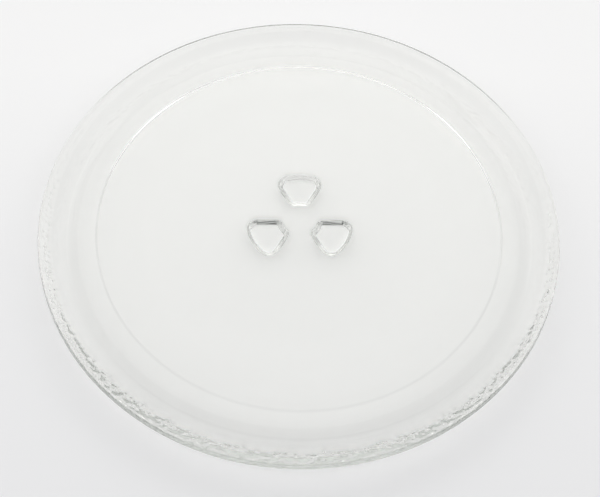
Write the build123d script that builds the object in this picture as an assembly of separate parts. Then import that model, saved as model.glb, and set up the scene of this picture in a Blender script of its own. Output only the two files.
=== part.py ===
from build123d import *
import os
from math import asin, cos, degrees, radians, tan

# Turntable plate of a microwave oven, pressed in one piece of clear glass.
# Millimetres, +Z up. The origin is on the plate's axis, in the plane that its three lugs stand on.

# Plate, wall and rim
plate_diameter = 245.0
glass_thickness = 4.5    # the floor and the sloping wall alike
rim_rise = 5.3           # top of the rim above the upper face of the floor
wall_slope = 40.0        # degrees
bend_radius = 12.0       # inside of the bend from the floor to the wall
lip_width = 3.6          # level top of the rim, before its edges are rounded
lip_outer_round = 1.2
lip_inner_round = 0.8

# Roller track, a shallow ring-shaped recess in the underside
track_depth = 0.8
track_width = 18.0       # the level part, between its two ramps
track_wall_gap = 12.0    # from the level part's outer edge to the start of the bend
track_outer_ramp = 2.0
track_inner_ramp = 4.0

# Drive lugs, which fill every second sixth of a ring and leave the gaps to the coupler's arms
lug_count = 3
lug_inner_radius = 9.4
lug_outer_radius = 25.4
lug_span = 60.0          # degrees, between the two rays that its sides follow
lug_setback = 1.0        # of each side from its ray, which the arms need as clearance
lug_height = 6.0
lug_draft = 17.0         # degrees, the taper that frees the lugs from the mould
lug_inner_corner = 3.2   # round of the upright corners near the axis, at the root
lug_outer_corner = 4.0   # and of the two away from it
lug_foot_round = 0.8     # edge of the face that it stands on

# Levels
underside = lug_height
track_level = underside + track_depth
floor_level = underside + glass_thickness
rim_level = floor_level + rim_rise

# The wall's two faces are parallel. Each is found where it cuts the lip or the floor.
plate_radius = plate_diameter / 2
slope = tan(radians(wall_slope))
lip_inner_radius = plate_radius - lip_width
inner_foot_radius = lip_inner_radius - rim_rise / slope
lip_bottom_level = rim_level + lip_width * slope - glass_thickness / cos(radians(wall_slope))
outer_foot_radius = plate_radius - (lip_bottom_level - underside) / slope

# Both faces start to bend at one radius, and the track is placed from there.
bend_start_radius = inner_foot_radius - bend_radius * tan(radians(wall_slope / 2))
track_outer_radius = bend_start_radius - track_wall_gap
track_inner_radius = track_outer_radius - track_width


def plate_section():
    """Half section of the plate: the track's ramps are straight, the wall and the rim are rounded."""
    track_end = (track_outer_radius + track_outer_ramp, underside)
    track = Polyline(
        (0, underside),
        (track_inner_radius - track_inner_ramp, underside),
        (track_inner_radius, track_level),
        (track_outer_radius, track_level),
        track_end,
    )
    wall = FilletPolyline(
        track_end,
        (outer_foot_radius, underside),
        (plate_radius, lip_bottom_level),
        (plate_radius, rim_level),
        (lip_inner_radius, rim_level),
        (inner_foot_radius, floor_level),
        (0, floor_level),
        radius=[bend_radius + glass_thickness, lip_outer_round, lip_outer_round, lip_inner_round, bend_radius],
    )
    on_axis = Line(wall @ 1, track @ 0)
    return make_face(Plane.XZ * (track + wall + on_axis))


def lug_arc(radius):
    """An arc about the axis, over the lug's span less the setback from both rays."""
    half_span = lug_span / 2 - degrees(asin(lug_setback / radius))
    return CenterArc((0, 0), radius, 90 - half_span, 2 * half_span)


def lug():
    """One lug: a sector of a ring with round corners, drawn in at its draft down to its foot."""
    inner = lug_arc(lug_inner_radius)
    outer = lug_arc(lug_outer_radius)
    plan = make_face(inner + Line(inner @ 1, outer @ 1) + outer + Line(outer @ 0, inner @ 0))
    plan = fillet(plan.vertices().group_by(SortBy.DISTANCE)[0], lug_inner_corner)
    plan = fillet(plan.vertices().group_by(SortBy.DISTANCE)[-1], lug_outer_corner)
    body = extrude(Pos(0, 0, underside) * plan, lug_height, dir=(0, 0, -1), taper=lug_draft)
    return fillet(body.faces().sort_by(Axis.Z)[0].edges(), lug_foot_round)


def glass_plate():
    """The plate, turned about its axis, with its lugs evenly round the middle of the underside."""
    return revolve(plate_section(), Axis.Z) + PolarLocations(0, lug_count) * lug()


os.makedirs("parts", exist_ok=True)
export_step(glass_plate(), "parts/glass_plate.step")
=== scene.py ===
import math

import bpy
import numpy as np
from mathutils import Matrix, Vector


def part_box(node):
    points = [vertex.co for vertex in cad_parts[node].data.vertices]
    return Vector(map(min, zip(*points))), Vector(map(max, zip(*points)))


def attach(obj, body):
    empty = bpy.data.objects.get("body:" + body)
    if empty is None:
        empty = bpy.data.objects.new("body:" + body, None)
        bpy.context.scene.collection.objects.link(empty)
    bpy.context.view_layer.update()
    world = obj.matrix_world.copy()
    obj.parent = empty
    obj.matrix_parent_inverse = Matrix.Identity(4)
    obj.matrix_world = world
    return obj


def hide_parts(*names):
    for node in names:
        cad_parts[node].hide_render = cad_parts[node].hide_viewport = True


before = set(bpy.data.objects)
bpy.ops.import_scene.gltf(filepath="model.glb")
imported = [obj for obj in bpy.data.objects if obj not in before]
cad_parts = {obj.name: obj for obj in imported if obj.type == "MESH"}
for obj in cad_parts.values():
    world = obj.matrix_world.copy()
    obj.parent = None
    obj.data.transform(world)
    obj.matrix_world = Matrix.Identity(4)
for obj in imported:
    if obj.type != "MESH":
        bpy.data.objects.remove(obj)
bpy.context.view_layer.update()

# A pressed-glass turntable plate on a pale table. Metres, in the frame of its solid: +Z up, origin on
# the plate's axis in the plane that its three lugs stand on.

mm = 0.001

# Plate, wall and rim, with the plate's radius and the rim's level taken from the solid
_, solid_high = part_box("glass_plate")
plate_radius = solid_high.x
rim_level = solid_high.z
glass_thickness = 4.5 * mm
rim_rise = 5.3 * mm           # top of the rim above the upper face of the floor
wall_slope = math.radians(40)
outside_slope = math.radians(38)
bend_radius = 12.0 * mm       # inside of the bend from the floor to the wall
lip_width = 6.0 * mm          # level top of the rim, before its edges are rounded
lip_outer_round = 0.8 * mm
lip_inner_round = 3.5 * mm
edge_height = 3.2 * mm        # outer edge of the rim
rim_inset = 0.75 * mm         # how far that edge leans in towards its top

# Roller track, a shallow ring-shaped recess in the underside
track_depth = 0.45 * mm
track_width = 18.0 * mm       # the level part, between its two ramps
track_wall_gap = 8.9 * mm     # from the level part's outer edge to the start of the bend
track_outer_ramp = 1.1 * mm
track_inner_ramp = 4.0 * mm
track_outer_round = 0.3 * mm
track_inner_round = 3.0 * mm

# Drive lugs, each a sector of a ring with round corners that gets smaller down to its foot
lug_count = 3
lug_inner_radius = 9.0 * mm
lug_outer_radius = 25.3 * mm
lug_half_span = math.radians(30)
lug_setback = 0.6 * mm        # of each straight side from the line through the axis that it runs along
lug_side_draft = math.radians(15)
lug_outer_draft = math.radians(6)
lug_inner_draft = math.radians(16)
lug_outer_corner_round = 4.6 * mm
lug_inner_corner_round = 2.6 * mm
lug_foot_round = 0.6 * mm
lug_root_round = 2.2 * mm
hub_radius = 32.0 * mm        # where the lugs' part of the mesh meets the turned part

# Pebbled relief on the outside of the wall, which fades out at both ends
pebble_length = 2.8 * mm      # round the rim
pebble_width = 2.2 * mm       # up the wall
pebble_height = 0.25 * mm
pebble_lowest = 0.55          # peak of the lowest pebble, as a share of the highest
pebble_jitter = 0.85          # middle share of its cell that a peak may be anywhere in
pebble_start_radius = 110.0 * mm
pebble_end_radius = 121.6 * mm
pebble_start_fade = 5.0 * mm
pebble_end_fade = 1.2 * mm
pebble_seed = 11

# Fineness of the mesh
spokes = 432                  # columns round the floor, a multiple of twelve
rim_spokes = 4 * spokes
lug_spokes = 40               # points along each straight border between two lugs
arc_points = 60               # of each arc in a lug's outline
outline_points = 4001
guard = 0.25 * mm             # a short stretch beside each rounding, which keeps flat faces flat
floor_margin = 1.0 * mm       # flat floor inside the bend, in the wall's part of the mesh
pebble_step = 0.42 * mm
weld_digits = 7

# Glass: a slight tint at each face that light crosses, and absorption on its way through
glass_tint = (0.959, 0.961, 0.948, 1.0)
glass_refraction = 1.52
glass_depth_colour = (0.407, 0.44, 0.412, 1.0)
glass_depth_density = 5.0

# Table with painted light falloff: its colour is darker and slightly bluer in front of the plate than
# behind it, as painted shade where less light reaches the front
table_reach = 3.0
table_gap = 0.05 * mm         # below the lugs
table_front, table_front_shaded_colour = -0.20, (0.79, 0.792, 0.808)
table_back, table_back_lit_colour = 0.10, (0.91, 0.91, 0.915)
table_roughness = 0.9
table_gloss = 0.1

# Dome and lamp. The dome's light rises with the cosine of the angle to one direction, up and behind.
dome_towards = (0.0, 0.5, 0.866)
dome_rise = {"From Min": -0.1, "From Max": 0.4, "To Min": 0.075, "To Max": 1.055}
dome_colour = (1.0, 0.998, 0.99, 1.0)
lamp_place = (0.0, 1.5, 2.0)
lamp_width = 2.0
lamp_power = 6.0
light_bounces = 64

# The photograph's view, found from the rim's outline
camera_elevation = math.radians(59.33)
camera_heading = math.radians(-2.5)
camera_roll = math.radians(2.6)
camera_distance = 373.6 * mm
camera_aim_right = 0.7 * mm
camera_aim_ahead = -18.9 * mm
camera_lens = 48.06           # millimetres, for the sensor's width
camera_sensor = 36.0

floor_level = rim_level - rim_rise
underside = floor_level - glass_thickness
track_level = underside + track_depth
rim_radius = plate_radius - rim_inset
lip_inner_radius = rim_radius - lip_width
lip_bottom_level = rim_level - edge_height
inner_foot_radius = lip_inner_radius - rim_rise / math.tan(wall_slope)
outer_foot_radius = plate_radius - (lip_bottom_level - underside) / math.tan(outside_slope)
bend_start_radius = inner_foot_radius - bend_radius * math.tan(wall_slope / 2)
track_outer_radius = bend_start_radius - track_wall_gap
track_inner_radius = track_outer_radius - track_width
lug_middle_radius = (lug_inner_radius + lug_outer_radius) / 2


def rounded_path(corners, radii, steps):
    """A polyline with round corners. Each corner is cut back by its radius times the tangent of half
    its turn, and the arc that touches both sides there is walked in equal steps. A guard point
    stands off each arc's end."""
    corners = np.asarray(corners, float)
    path = [corners[:1]]
    for before, corner, after, radius, count in zip(corners, corners[1:], corners[2:], radii, steps):
        go_in = (corner - before) / np.linalg.norm(corner - before)
        go_out = (after - corner) / np.linalg.norm(after - corner)
        turn = math.atan2(go_in[0] * go_out[1] - go_in[1] * go_out[0], go_in @ go_out)
        hand = math.copysign(1.0, turn)
        side = hand * np.array([-go_in[1], go_in[0]])
        centre = corner - radius * math.tan(abs(turn) / 2) * go_in + radius * side
        spoke = np.linspace(0, turn, count + 1)[:, None]
        arc = centre - radius * (np.cos(spoke) * side - np.sin(spoke) * hand * go_in)
        path += [(arc[0] - guard * go_in)[None], arc, (arc[-1] + guard * go_out)[None]]
    path.append(corners[-1:])
    return np.concatenate(path)


def lengths_along(path):
    """Length of the path from its start to each point. The first two columns are the place."""
    return np.concatenate([[0], np.cumsum(np.linalg.norm(np.diff(path[:, :2], axis=0), axis=1))])


def evenly_spaced(path, count):
    """The same line as path, as that many points at equal lengths along it, with all columns carried."""
    length = lengths_along(path)
    wanted = np.linspace(0, length[-1], count)
    return np.stack([np.interp(wanted, length, column) for column in path.T], 1)


def fade(value):
    """Smooth rise from 0 to 1 while value goes from 0 to 1: three squares less two cubes."""
    value = np.clip(value, 0, 1)
    return value * value * (3 - 2 * value)


def pebbles(angles, lengths):
    """Height of the pebbled relief, 0 to 1, at each length up the wall and angle round it. The band is
    cut in cells, each with a peak of its own height at a random place. The height is the greatest, over
    the nine nearest cells, of the peak's height less the squared distance to it, in cells."""
    chance = np.random.default_rng(pebble_seed)
    around = round(2 * math.pi * plate_radius / pebble_length)
    up = math.ceil(lengths.max() / pebble_width) + 3
    moved = chance.uniform(-0.5, 0.5, (up, around, 2)) * pebble_jitter
    tall = chance.uniform(pebble_lowest, 1.0, (up, around))
    u, v = np.meshgrid(angles / (2 * math.pi) * around, lengths / pebble_width + 1)
    cell_u, cell_v = np.floor(u).astype(int), np.floor(v).astype(int)
    height = np.zeros(u.shape)
    for du in (-1, 0, 1):
        for dv in (-1, 0, 1):
            there = (cell_v + dv, (cell_u + du) % around)
            away_u = cell_u + du + 0.5 + moved[there][..., 0] - u
            away_v = cell_v + dv + 0.5 + moved[there][..., 1] - v
            height = np.maximum(height, tall[there] - away_u ** 2 - away_v ** 2)
    return height


def column_angles(columns):
    """Angles of that many equal columns round the axis, the first along +X."""
    return np.arange(columns) * 2 * math.pi / columns


def turned(radius, level, columns):
    """Points at the radius and level of each row, turned about the axis in equal columns."""
    angles = column_angles(columns)
    places = np.broadcast_arrays(radius * np.cos(angles), radius * np.sin(angles), level)
    return np.stack(places, -1)


def left_of(path):
    """Unit normals on the left of a path, square to the chord between each point's two neighbours."""
    along = np.gradient(path, axis=0)
    along /= np.linalg.norm(along, axis=1)[:, None]
    return np.stack([-along[:, 1], along[:, 0]], 1)


def grid_faces(rows, columns):
    """Four-sided faces between neighbouring rows of a closed grid, facing left of the rows' order."""
    row, column = np.meshgrid(np.arange(rows - 1), np.arange(columns), indexing="ij")
    ahead = (column + 1) % columns
    corners = [row * columns + column, (row + 1) * columns + column,
               (row + 1) * columns + ahead, row * columns + ahead]
    return np.stack(corners, -1).reshape(-1, 4)


def fan_faces(columns):
    """Triangles from point 0 to the ring of points that follows it."""
    column = np.arange(columns)
    return np.stack([np.zeros(columns, int), column + 1, (column + 1) % columns + 1], 1)


def joining_faces():
    """Many-sided faces between a ring of the floor's columns and the finer ring that follows it."""
    column = np.arange(spokes)[:, None]
    times = rim_spokes // spokes
    fine = (times * column + np.arange(times + 1)) % rim_spokes
    return np.concatenate([column, spokes + fine, (column + 1) % spokes], 1)


def linked(name, data):
    """A new object of that data, in the scene."""
    thing = bpy.data.objects.new(name, data)
    bpy.context.scene.collection.objects.link(thing)
    return thing


class Blocks:
    """Collects blocks of points with their faces, for one piece."""

    def __init__(self):
        self.points, self.faces, self.count = [], [], 0

    def add(self, points, faces):
        """Takes a block, whose faces count its own points from 0."""
        points = np.reshape(points, (-1, 3))
        self.points.append(points)
        self.faces.append(faces + self.count)
        self.count += len(points)

    def piece(self, name):
        """All blocks as one smooth mesh. Points that agree to the weld's digits become one point."""
        points = np.concatenate(self.points)
        rounded = np.round(points, weld_digits)
        _, first, same = np.unique(rounded, axis=0, return_index=True, return_inverse=True)
        same = same.reshape(-1)
        faces = [face for block in self.faces for face in same[block].tolist()]
        mesh = bpy.data.meshes.new(name)
        mesh.from_pydata(points[first].tolist(), [], faces)
        mesh.polygons.foreach_set("use_smooth", np.ones(len(mesh.polygons), bool))
        mesh.validate()
        return linked(name, mesh)


def add_turned_part(blocks):
    """Floor, wall, rim and underside down to the hub. One path goes from the floor up the wall and over
    the lip. A second, with finer columns, goes down the outside of the wall and carries the pebbles:
    between their peaks it is sunk along its normals. A third goes on over the track to the hub."""
    over = rounded_path(
        [(bend_start_radius - floor_margin, floor_level), (inner_foot_radius, floor_level),
         (lip_inner_radius, rim_level), (rim_radius, rim_level), (plate_radius, lip_bottom_level),
         (outer_foot_radius, underside)],
        radii=[bend_radius, lip_inner_round, lip_outer_round, lip_outer_round],
        steps=[8, 4, 6, 5])[:-1]
    under = rounded_path(
        [over[-1], (outer_foot_radius, underside),
         (track_outer_radius + track_outer_ramp, underside), (track_outer_radius, track_level),
         (track_inner_radius, track_level), (track_inner_radius - track_inner_ramp, underside),
         (hub_radius, underside)],
        radii=[bend_radius + glass_thickness, track_outer_round, track_outer_round,
               track_inner_round, track_inner_round],
        steps=[40, 3, 3, 4, 4])
    outside = under[under[:, 0] > pebble_start_radius]
    outside = evenly_spaced(outside, round(lengths_along(outside)[-1] / pebble_step) + 1)
    under = np.concatenate([outside[-1:], under[under[:, 0] < pebble_start_radius]])

    shown = fade((outside[:, 0] - pebble_start_radius) / pebble_start_fade)
    shown *= fade((pebble_end_radius - outside[:, 0]) / pebble_end_fade)
    relief = pebbles(column_angles(rim_spokes), np.arange(len(outside)) * pebble_step)
    sunk = (pebble_height * shown)[:, None] * (1 - relief)
    inward = -left_of(outside)
    radius, level = outside[:, :1] + sunk * inward[:, :1], outside[:, 1:] + sunk * inward[:, 1:]
    rim = turned(radius, level, rim_spokes)[1:-1]
    blocks.add(rim, grid_faces(len(rim), rim_spokes))

    for path, edge, meets, order in ((over, -1, rim[0], 1), (under, 0, rim[-1], -1)):
        rings = turned(path[:, :1], path[:, 1:], spokes)
        blocks.add(rings, grid_faces(len(path), spokes))
        blocks.add(np.concatenate([rings[edge], meets]), joining_faces()[:, ::order])
    floor = turned(over[0, 0], floor_level, spokes)
    blocks.add(np.concatenate([[(0, 0, floor_level)], floor]), fan_faces(spokes))


def lug_outline():
    """Outline of a lug at its root and the outward normal along it, about the lug's middle line as X.
    One half is four arcs, and the other its mirror image. A corner's centre lies at its reach from the
    axis, turned from the middle line by its lean: the half span less the arcsine of set back and round
    together over the reach. The inner side is an arc of negative radius, and straight sides join them."""
    outer_reach = lug_outer_radius - lug_outer_corner_round
    inner_reach = lug_inner_radius + lug_inner_corner_round
    outer_lean = lug_half_span - math.asin((lug_setback + lug_outer_corner_round) / outer_reach)
    inner_lean = lug_half_span - math.asin((lug_setback + lug_inner_corner_round) / inner_reach)
    side = lug_half_span + math.pi / 2
    arcs = [
        (0, 0, lug_outer_radius, 0, outer_lean),
        (outer_reach, outer_lean, lug_outer_corner_round, outer_lean, side),
        (inner_reach, inner_lean, lug_inner_corner_round, side, inner_lean + math.pi),
        (0, 0, -lug_inner_radius, inner_lean + math.pi, math.pi),
    ]
    half = []
    for reach, lean, radius, start, end in arcs:
        facing = np.linspace(start, end, arc_points)
        normal = np.stack([np.cos(facing), np.sin(facing)], 1)
        centre = reach * np.array([math.cos(lean), math.sin(lean)])
        half.append(np.concatenate([centre + radius * normal, normal], 1))
    half = np.concatenate(half)
    whole = np.concatenate([half, half[-2:0:-1] * [1, -1, 1, -1], half[:1]])
    return evenly_spaced(whole, outline_points)


def border_points():
    """Border of one lug's third of the hub, about the lug's middle line as X: an arc on the hub's
    radius and the two straight lines from its ends to the axis."""
    half_share = math.pi / lug_count
    angle = np.linspace(-half_share, half_share, spokes // lug_count + 1)[:, None]
    arc = hub_radius * np.concatenate([np.cos(angle), np.sin(angle)], 1)
    share = np.linspace(1, 0, lug_spokes + 1)[1:, None]
    return np.concatenate([arc, arc[-1:] * share, arc[:1] * share[-2::-1]])


def lug_rings():
    """Rings of points from a lug's foot, up its side and out to the border of its third. The side's
    profile, as distance out from the root outline and level, is carried along the outline's normals
    from the points that face the border's. Inside the root, its distances go with the tangent of the
    draft, which fades from the straight sides' to that of the outer or the inner arc."""
    drawn_in = underside * math.tan(lug_side_draft)
    profile = rounded_path(
        [(-2 * drawn_in, 0), (-drawn_in, 0), (0, underside), (2 * drawn_in, underside)],
        radii=[lug_foot_round, lug_root_round], steps=[5, 4])[1:]
    border = border_points()
    outline = lug_outline()[:-1]
    facing = np.arctan2(outline[:, 1], outline[:, 0] - lug_middle_radius)
    wanted = np.arctan2(border[:, 1], border[:, 0] - lug_middle_radius)
    at = [np.interp(wanted, facing, column, period=2 * math.pi) for column in outline.T]
    place, normal = np.stack(at[:2], 1), np.stack(at[2:], 1)
    normal /= np.linalg.norm(normal, axis=1)[:, None]

    sideways = fade(2 * np.abs(normal[:, 1]) / math.cos(lug_half_span) - 1)
    arc_draft = np.where(normal[:, 0] > 0, lug_outer_draft, lug_inner_draft)
    lean = (1 - sideways) * np.tan(arc_draft) / math.tan(lug_side_draft) + sideways
    distance = profile[:, :1] * np.where(profile[:, :1] < 0, lean, 1)
    rings = place + distance[:, :, None] * normal
    level = np.broadcast_to(profile[:, 1:, None], (*rings.shape[:2], 1))
    last = np.concatenate([border, np.full((len(border), 1), underside)], 1)
    return np.concatenate([np.concatenate([rings, level], -1), last[None]])


def add_lugs(blocks):
    """The lugs and the hub between them: one lug's rings, closed over its foot and turned to each place."""
    rings = lug_rings()
    columns = rings.shape[1]
    foot = np.concatenate([[(lug_middle_radius, 0, 0)], rings[0]])
    for number in range(lug_count):
        turn = math.pi / 2 + number * 2 * math.pi / lug_count
        along, across = math.cos(turn), math.sin(turn)
        turning = np.array([[along, across, 0], [-across, along, 0], [0, 0, 1]])
        blocks.add(rings @ turning, grid_faces(len(rings), columns)[:, ::-1])
        blocks.add(foot @ turning, fan_faces(columns)[:, ::-1])


def socket(node, name, value):
    """Sets one of a node's own inputs."""
    node.inputs[name].default_value = value


def new_material(name):
    """A material with its nodes, its links and its surface shader."""
    material = bpy.data.materials.new(name)
    material.use_nodes = True
    nodes = material.node_tree.nodes
    return material, nodes, material.node_tree.links, nodes["Principled BSDF"]


def clear_glass():
    """Clear soda-lime glass, smooth and fully transmitting. It takes a little light at each face, and
    on the way through more of the red and the blue than of the green."""
    material, nodes, links, shader = new_material("clear_glass")
    socket(shader, "Base Color", glass_tint)
    socket(shader, "Roughness", 0.0)
    socket(shader, "IOR", glass_refraction)
    socket(shader, "Transmission Weight", 1.0)
    depth = nodes.new("ShaderNodeVolumeAbsorption")
    socket(depth, "Color", glass_depth_colour)
    socket(depth, "Density", glass_depth_density)
    links.new(depth.outputs["Volume"], nodes["Material Output"].inputs["Volume"])
    return material


def pale_table():
    """Matt table whose colour grows paler from front to back as painted light falloff, darker in front
    where less light falls. It is see-through from below.
    """
    material, nodes, links, shader = new_material("pale_table")
    where = nodes.new("ShaderNodeTexCoord")
    split = nodes.new("ShaderNodeSeparateXYZ")
    painted_light_falloff = nodes.new("ShaderNodeMapRange")
    painted_light_falloff.data_type = "FLOAT_VECTOR"
    value, front, back, front_colour, back_colour = painted_light_falloff.inputs[6:11]     # its sockets for vectors
    # Painted shade: the colour darkens and turns slightly blue towards the front, standing in for less
    # light reaching the table there
    front.default_value = (table_front,) * 3
    back.default_value = (table_back,) * 3
    front_colour.default_value = table_front_shaded_colour
    back_colour.default_value = table_back_lit_colour
    links.new(where.outputs["Object"], split.inputs["Vector"])
    links.new(split.outputs["Y"], value)
    links.new(painted_light_falloff.outputs["Vector"], shader.inputs["Base Color"])
    socket(shader, "Roughness", table_roughness)
    socket(shader, "Specular IOR Level", table_gloss)
    clear = nodes.new("ShaderNodeBsdfTransparent")
    face = nodes.new("ShaderNodeNewGeometry")
    mix = nodes.new("ShaderNodeMixShader")
    links.new(face.outputs["Backfacing"], mix.inputs["Fac"])
    links.new(shader.outputs["BSDF"], mix.inputs[1])
    links.new(clear.outputs["BSDF"], mix.inputs[2])
    links.new(mix.outputs["Shader"], nodes["Material Output"].inputs["Surface"])
    return material


def glass_plate():
    """The whole plate as one closed piece, which stands for its solid."""
    blocks = Blocks()
    add_turned_part(blocks)
    add_lugs(blocks)
    piece = blocks.piece("pressed_plate")
    piece.data.materials.append(clear_glass())
    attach(piece, "root")
    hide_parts("glass_plate")


def table_top():
    """A wide table, a hair below the lugs."""
    signs = ((-1, -1), (1, -1), (1, 1), (-1, 1))
    mesh = bpy.data.meshes.new("table_top")
    corners = [(x * table_reach, y * table_reach, -table_gap) for x, y in signs]
    mesh.from_pydata(corners, [], [(0, 1, 2, 3)])
    mesh.materials.append(pale_table())
    table = linked("table_top", mesh)


def soft_light():
    """A pale dome, bright above and behind the plate and dim low down in front, and a wide soft lamp
    behind, aimed at the plate."""
    world = bpy.data.worlds.new("studio")
    world.use_nodes = True
    nodes, links = world.node_tree.nodes, world.node_tree.links
    where = nodes.new("ShaderNodeTexCoord")
    cosine = nodes.new("ShaderNodeVectorMath")
    cosine.operation = "DOT_PRODUCT"
    cosine.inputs[1].default_value = dome_towards
    rise = nodes.new("ShaderNodeMapRange")
    rise.interpolation_type = "SMOOTHSTEP"
    for name, value in dome_rise.items():
        socket(rise, name, value)
    links.new(where.outputs["Generated"], cosine.inputs[0])
    links.new(cosine.outputs["Value"], rise.inputs["Value"])
    links.new(rise.outputs["Result"], nodes["Background"].inputs["Strength"])
    socket(nodes["Background"], "Color", dome_colour)
    bpy.context.scene.world = world

    lamp = bpy.data.lights.new("soft_box", "AREA")
    lamp.shape = "DISK"
    lamp.size = lamp_width
    lamp.energy = lamp_power
    holder = linked("soft_box", lamp)
    holder.location = lamp_place
    holder.rotation_euler = (-holder.location).to_track_quat("-Z", "Y").to_euler()


def photo_camera():
    """The photograph's view. The camera stands at its distance and elevation from the point that it
    looks at, in the plane of the floor's upper face, turned about the upright and rolled."""
    upright = np.array([0, 0, 1.0])
    right = np.array([math.cos(camera_heading), math.sin(camera_heading), 0])
    ahead = np.array([-math.sin(camera_heading), math.cos(camera_heading), 0])
    back = math.sin(camera_elevation) * upright - math.cos(camera_elevation) * ahead
    up = math.cos(camera_elevation) * upright + math.sin(camera_elevation) * ahead
    aim = camera_aim_right * right + camera_aim_ahead * ahead + floor_level * upright
    rolled_right = math.cos(camera_roll) * right + math.sin(camera_roll) * up
    rolled_up = math.cos(camera_roll) * up - math.sin(camera_roll) * right
    placed = np.eye(4)
    placed[:3] = np.stack([rolled_right, rolled_up, back, aim + camera_distance * back], 1)
    camera = bpy.data.cameras.new("photo_camera")
    camera.sensor_width = camera_sensor
    camera.lens = camera_lens
    holder = linked("photo_camera", camera)
    holder.matrix_world = Matrix(placed.tolist())
    bpy.context.scene.camera = holder


glass_plate()
table_top()
soft_light()
photo_camera()

scene = bpy.context.scene
scene.view_settings.view_transform = "Standard"
scene.cycles.blur_glossy = 0.0
scene.cycles.max_bounces = light_bounces
scene.cycles.transmission_bounces = light_bounces
scene.cycles.glossy_bounces = light_bounces
